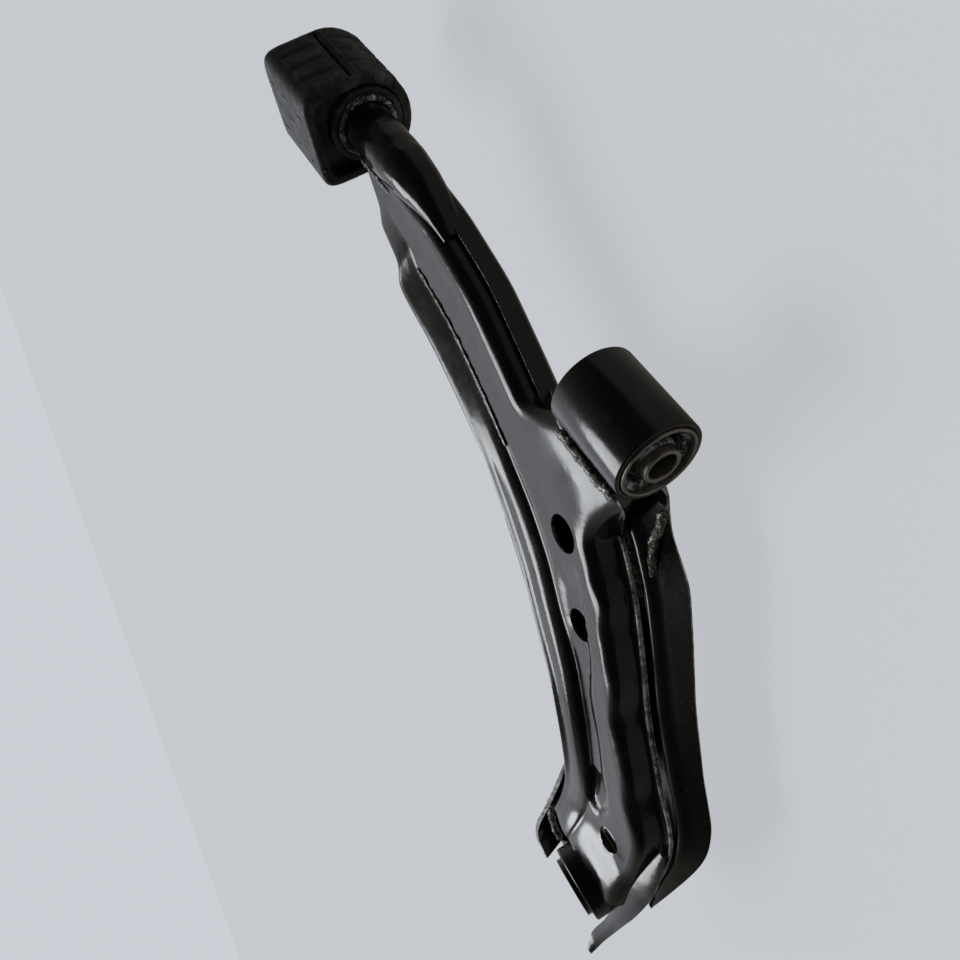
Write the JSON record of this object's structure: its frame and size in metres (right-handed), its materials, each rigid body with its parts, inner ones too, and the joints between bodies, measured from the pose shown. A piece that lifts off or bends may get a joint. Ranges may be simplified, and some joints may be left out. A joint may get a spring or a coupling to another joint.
{
  "type": "control arm",
  "caption": "Pressed-steel suspension lower control arm with a tubular front bush, a split D-shaped rear rubber bush on a stub, and a ball joint.",
  "frame": {"origin": "on the hinge axis, at the middle of the front bush", "axes": "+Y along the hinge axis from the front bush to the rear bush, +X inboard, +Z normal to the pressed floor on the side that the picture shows"},
  "size_m": [0.4436, 0.4662, 0.1128],
  "materials": {
    "black_paint": "glossy black dip coat",
    "rubber": "matte moulded rubber",
    "bare_steel": "machined steel, lightly oiled",
    "dark_steel": "black coated turned steel",
    "weld": "rough weld bead under black coat",
    "seat_plastic": "natural acetal"
  },
  "bodies": {
    "arm": {"upper_shell": "black_paint", "lower_shell": "black_paint", "outer_rear_ear": "black_paint", "outer_front_flange": "black_paint", "bush_saddle": "black_paint", "bush_web": "black_paint", "front_bush_housing": "black_paint", "front_bush_outer_sleeve": "bare_steel", "front_bush_rubber": "rubber", "rear_stub": "black_paint", "ball_joint_ring": "black_paint", "ball_joint_housing": "dark_steel", "ball_joint_seat": "seat_plastic", "housing_snap_ring": "bare_steel", "weld_saddle": "weld", "weld_rear_seam": "weld", "weld_front_seam": "weld", "weld_neck": "weld", "weld_ring": "weld"},
    "front_sleeve": {"front_bush_inner_sleeve": "bare_steel"},
    "rear_bush": {"rear_bush_body": "rubber", "rear_bush_inner_ring": "bare_steel"},
    "boot": {"ball_joint_boot": "rubber", "boot_small_clip": "bare_steel"},
    "stud": {"ball_stud": "bare_steel"}
  },
  "joints": [
    {"name": "rear_bush_turn", "type": "hinge", "parent": "arm", "child": "rear_bush", "pos_m": [0, 0.302, 0], "axis": [0, 1, 0], "range_deg": [-20, 20], "stiffness_Nm_per_rad": 40},
    {"name": "front_bush_twist", "type": "hinge", "parent": "arm", "child": "front_sleeve", "pos_m": [0, 0, 0], "axis": [0, 1, 0], "range_deg": [-20, 20]},
    {"name": "ball_swing", "type": "hinge", "parent": "arm", "child": "boot", "pos_m": [-0.3433, -0.086, -0.00753], "axis": [0, 1, 0], "range_deg": [-18, 18]},
    {"name": "stud_spin", "type": "hinge", "parent": "boot", "child": "stud", "pos_m": [-0.3433, -0.086, -0.00753], "axis": [-0.3371, 0, 0.9415], "range_deg": [-45, 45]}
  ],
  "couplings": [
    {"joint": "front_bush_twist", "follows": "rear_bush_turn", "ratio": 1}
  ]
}
